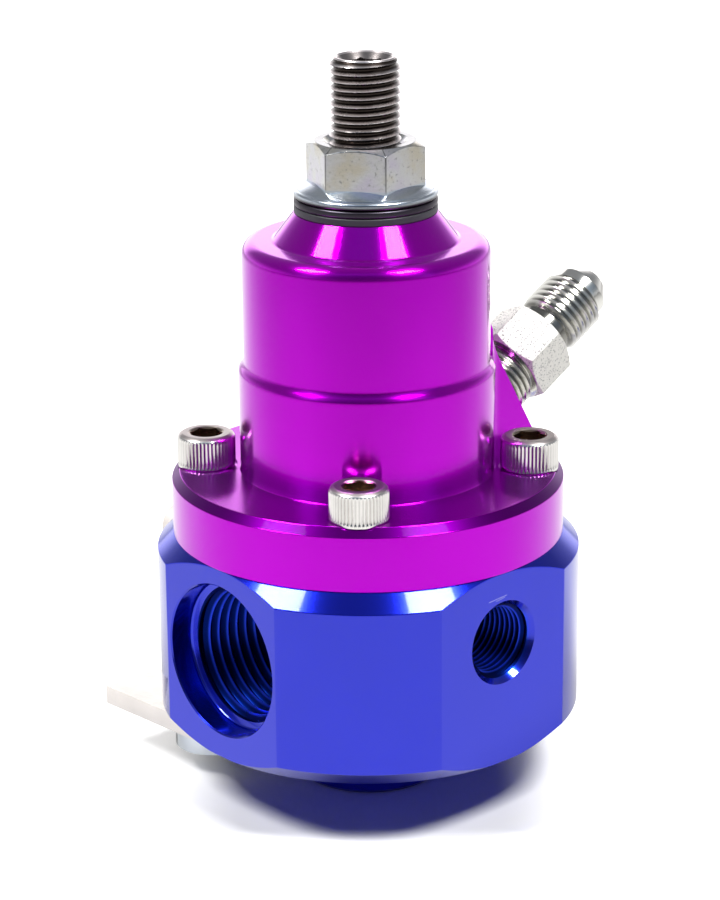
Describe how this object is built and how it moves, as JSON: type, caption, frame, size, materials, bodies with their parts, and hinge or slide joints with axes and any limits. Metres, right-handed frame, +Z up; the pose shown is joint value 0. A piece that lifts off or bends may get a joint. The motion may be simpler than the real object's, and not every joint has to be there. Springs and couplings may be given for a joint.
{
  "type": "fuel pressure regulator",
  "caption": "Bypass fuel pressure regulator: octagonal ported body under a flanged round bonnet, with an adjusting screw and jam nut on top, a slanted boost fitting and a rear bracket.",
  "frame": {"origin": "centre of the lower boss face that the regulator stands on", "axes": "+Z up the spring axis, -Y the front with the gauge port, -X the inlet port, +Y the rear with the bracket"},
  "size_m": [0.0713, 0.0572, 0.1006],
  "materials": {
    "blue_anodised": "bright dip, blue anodised, milled and turned",
    "purple_anodised": "bright dip, purple anodised, turned",
    "stainless_screws": "stainless, knurled heads",
    "zinc_fitting": "zinc plated",
    "bracket_sheet": "brushed stainless sheet",
    "zinc_screws": "zinc plated",
    "adjuster_steel": "dark plain steel",
    "zinc_nut": "zinc plated, faintly iridescent",
    "washer_steel": "dark steel",
    "seal_rubber": "black rubber",
    "button_brass": "turned",
    "spring_steel": "oil tempered wire",
    "diaphragm_rubber": "fabric reinforced rubber",
    "plate_aluminium": "turned",
    "valve_steel": "turned stainless",
    "disc_plastic": "moulded",
    "seat_brass": "turned"
  },
  "bodies": {
    "housing": {"body": "blue_anodised", "bonnet": "purple_anodised", "cap_screws": "stainless_screws", "boost_fitting": "zinc_fitting", "mounting_bracket": "bracket_sheet", "bracket_screws": "zinc_screws", "seal_washer": "seal_rubber", "main_spring": "spring_steel", "diaphragm": "diaphragm_rubber", "valve_seat": "seat_brass", "seat_seal_ring": "seal_rubber"},
    "valve": {"upper_plate": "plate_aluminium", "lower_plate": "plate_aluminium", "valve_stem": "valve_steel", "stem_nut": "valve_steel", "valve_disc": "disc_plastic"},
    "spring_seat": {"spring_button": "button_brass"},
    "adjuster": {"adjusting_screw": "adjuster_steel"},
    "washer": {"nut_washer": "washer_steel"},
    "nut": {"jam_nut": "zinc_nut"}
  },
  "joints": [
    {"name": "valve_lift", "type": "slide", "parent": "housing", "child": "valve", "axis": [0, 0, 1], "range_m": [0, 0.001], "stiffness_N_per_m": 1500, "deforming": ["main_spring", "diaphragm"]},
    {"name": "adjuster_travel", "type": "slide", "parent": "housing", "child": "spring_seat", "axis": [0, 0, 1], "range_m": [-0.00423, 0.00318], "deforming": ["main_spring"]},
    {"name": "adjuster_turn", "type": "hinge", "parent": "spring_seat", "child": "adjuster", "pos_m": [0, 0, 0.1006], "axis": [0, 0, 1], "range_deg": [-1440, 1080]},
    {"name": "nut_travel", "type": "slide", "parent": "housing", "child": "washer", "axis": [0, 0, 1], "range_m": [0, 0.00212]},
    {"name": "nut_turn", "type": "hinge", "parent": "washer", "child": "nut", "pos_m": [0, 0, 0.0819], "axis": [0, 0, 1], "range_deg": [0, 720]}
  ],
  "couplings": [
    {"joint": "adjuster_travel", "follows": "adjuster_turn", "m_per_rad": 0.00016844},
    {"joint": "nut_travel", "follows": "nut_turn", "m_per_rad": 0.00016844}
  ]
}
